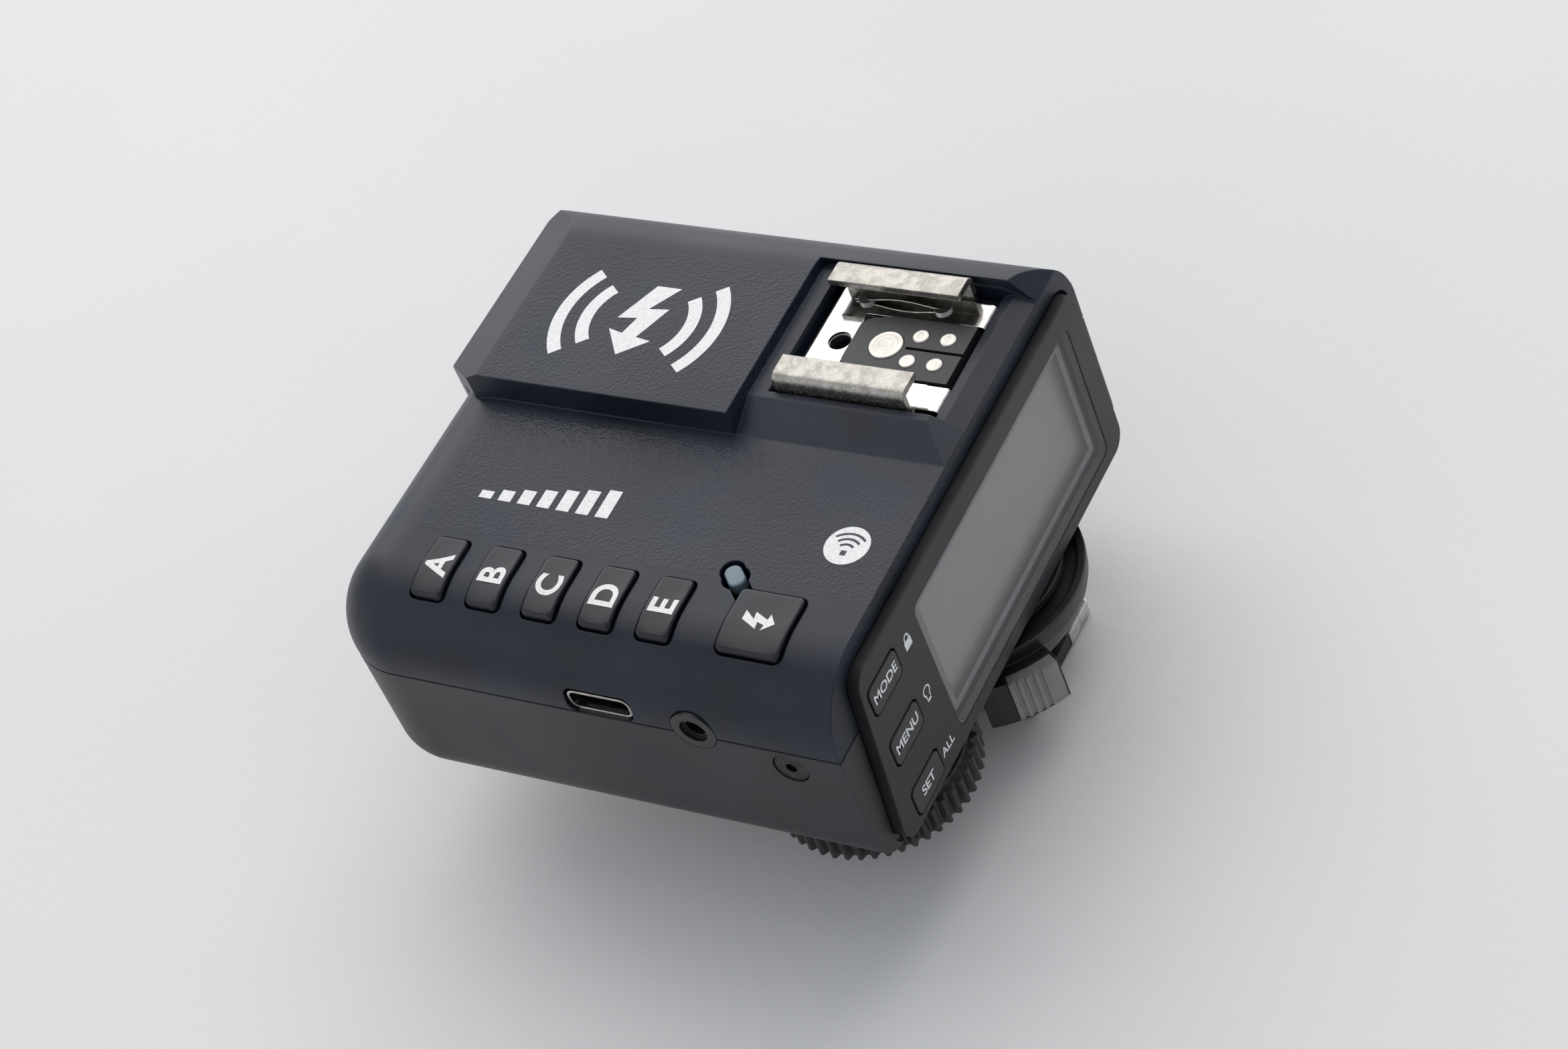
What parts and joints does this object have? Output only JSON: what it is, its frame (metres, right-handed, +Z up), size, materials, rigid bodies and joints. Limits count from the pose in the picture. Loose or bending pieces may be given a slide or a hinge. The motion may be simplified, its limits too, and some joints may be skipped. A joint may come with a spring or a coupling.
{
  "type": "wireless flash trigger",
  "caption": "Boxy wireless flash trigger with a raised accessory shoe, group keys on a rolled edge, a rear display, a toothed select dial and a locking foot underneath.",
  "frame": {"origin": "centre of the foot plate's sole", "axes": "+X to the viewer's right, +Y forwards towards the subject, away from the display, +Z up out of the top shoe"},
  "size_m": [0.072, 0.0791, 0.0523],
  "materials": {
    "case_plastic": "fine leather grain on the deck, satin elsewhere",
    "base_plastic": "satin",
    "bezel_plastic": "satin",
    "key_rubber": "satin with pale legends",
    "black_plastic": "satin",
    "grip_plastic": "satin, ridged",
    "lens_clear": "polished",
    "lamp_clear": "frosted",
    "window_red": "polished",
    "lcd_grey": "matt film",
    "diffuser_white": "satin",
    "board_green": "solder mask",
    "can_metal": "satin",
    "shoe_nickel": "coarse stippled nickel",
    "spring_bright": "mirror bright",
    "contact_metal": "turned, bright plated",
    "pin_gold": "bright plated",
    "screw_steel": "satin",
    "dark_screw": "blackened",
    "flex_amber": "satin film",
    "foot_metal": "bright satin",
    "cell_sleeve": "printed sleeve",
    "led_resin": "moulded resin",
    "led_red": "moulded resin"
  },
  "bodies": {
    "body": {"top_shell": "case_plastic", "bottom_shell": "base_plastic", "display_bezel": "bezel_plastic", "display_lens": "lens_clear", "lcd_panel": "lcd_grey", "lcd_backlight": "diffuser_white", "display_board": "board_green", "display_switches": "can_metal", "status_lamp_lens": "lamp_clear", "status_led": "led_resin", "keypad_board": "board_green", "keypad_switches": "can_metal", "keypad_screws": "screw_steel", "display_screws": "screw_steel", "shoe_rails": "shoe_nickel", "shoe_spring_plate": "spring_bright", "shoe_contact_block": "black_plastic", "shoe_contacts": "contact_metal", "shoe_screws": "screw_steel", "shoe_flex": "flex_amber", "main_board": "board_green", "main_board_screws": "screw_steel", "radio_module": "can_metal", "antenna": "pin_gold", "usb_socket": "can_metal", "usb_tongue": "black_plastic", "sync_jack": "black_plastic", "switch_bodies": "can_metal", "assist_window": "window_red", "assist_led": "led_red", "dial_encoder": "can_metal", "foot_hub": "black_plastic", "hub_screws": "screw_steel", "foot_plate": "foot_metal", "foot_screws": "screw_steel", "foot_contact_block": "black_plastic", "foot_flex": "flex_amber", "battery_cell_front": "cell_sleeve", "battery_cell_rear": "cell_sleeve", "battery_contacts": "can_metal", "case_screws": "dark_screw"},
    "group_key_a": {"group_key_a": "key_rubber"},
    "group_key_b": {"group_key_b": "key_rubber"},
    "group_key_c": {"group_key_c": "key_rubber"},
    "group_key_d": {"group_key_d": "key_rubber"},
    "group_key_e": {"group_key_e": "key_rubber"},
    "test_key": {"test_key": "key_rubber"},
    "mode_key": {"mode_key": "key_rubber"},
    "menu_key": {"menu_key": "key_rubber"},
    "set_key": {"set_key": "key_rubber"},
    "dial": {"select_dial": "black_plastic", "dial_shaft": "screw_steel"},
    "lock_lever": {"lock_ring": "black_plastic", "lever_cap": "grip_plastic"},
    "lock_pin": {"lock_pin": "screw_steel"},
    "centre_pin": {"foot_centre_pin": "pin_gold"},
    "signal_pins": {"foot_signal_pins": "pin_gold"},
    "power_switch": {"power_switch": "black_plastic"},
    "assist_switch": {"assist_switch": "black_plastic"},
    "battery_cover": {"battery_cover": "base_plastic"}
  },
  "joints": [
    {"name": "group_key_a_press", "type": "slide", "parent": "body", "child": "group_key_a", "axis": [0, 0, -1], "range_m": [0, 0.0005], "stiffness_N_per_m": 400},
    {"name": "group_key_b_press", "type": "slide", "parent": "body", "child": "group_key_b", "axis": [0, 0, -1], "range_m": [0, 0.0005], "stiffness_N_per_m": 400},
    {"name": "group_key_c_press", "type": "slide", "parent": "body", "child": "group_key_c", "axis": [0, 0, -1], "range_m": [0, 0.0005], "stiffness_N_per_m": 400},
    {"name": "group_key_d_press", "type": "slide", "parent": "body", "child": "group_key_d", "axis": [0, 0, -1], "range_m": [0, 0.0005], "stiffness_N_per_m": 400},
    {"name": "group_key_e_press", "type": "slide", "parent": "body", "child": "group_key_e", "axis": [0, 0, -1], "range_m": [0, 0.0005], "stiffness_N_per_m": 400},
    {"name": "test_key_press", "type": "slide", "parent": "body", "child": "test_key", "axis": [0, 0, -1], "range_m": [0, 0.0005], "stiffness_N_per_m": 400},
    {"name": "mode_key_press", "type": "slide", "parent": "body", "child": "mode_key", "axis": [0, 1, 0], "range_m": [0, 0.0005], "stiffness_N_per_m": 400},
    {"name": "menu_key_press", "type": "slide", "parent": "body", "child": "menu_key", "axis": [0, 1, 0], "range_m": [0, 0.0005], "stiffness_N_per_m": 400},
    {"name": "set_key_press", "type": "slide", "parent": "body", "child": "set_key", "axis": [0, 1, 0], "range_m": [0, 0.0005], "stiffness_N_per_m": 400},
    {"name": "dial_turn", "type": "hinge", "parent": "body", "child": "dial", "pos_m": [-0.0289, 0.0007, 0.0135], "axis": [0, 0, 1], "continuous": true},
    {"name": "lock_turn", "type": "hinge", "parent": "body", "child": "lock_lever", "pos_m": [0, 0, 0.01], "axis": [0, 0, 1], "range_deg": [0, 60]},
    {"name": "lock_pin_drop", "type": "slide", "parent": "body", "child": "lock_pin", "axis": [0, 0, -1], "range_m": [0, 0.0015]},
    {"name": "centre_pin_push", "type": "slide", "parent": "body", "child": "centre_pin", "axis": [0, 0, 1], "range_m": [0, 0.0004], "stiffness_N_per_m": 600},
    {"name": "signal_pins_push", "type": "slide", "parent": "body", "child": "signal_pins", "axis": [0, 0, 1], "range_m": [0, 0.0004], "stiffness_N_per_m": 1200},
    {"name": "power_switch_slide", "type": "slide", "parent": "body", "child": "power_switch", "axis": [0, 1, 0], "range_m": [0, 0.003]},
    {"name": "assist_switch_slide", "type": "slide", "parent": "body", "child": "assist_switch", "axis": [0, 1, 0], "range_m": [0, 0.003]},
    {"name": "battery_cover_slide", "type": "slide", "parent": "body", "child": "battery_cover", "axis": [0, 1, 0], "range_m": [0, 0.034]}
  ],
  "couplings": [
    {"joint": "lock_pin_drop", "follows": "lock_turn", "m_per_rad": 0.00143}
  ]
}
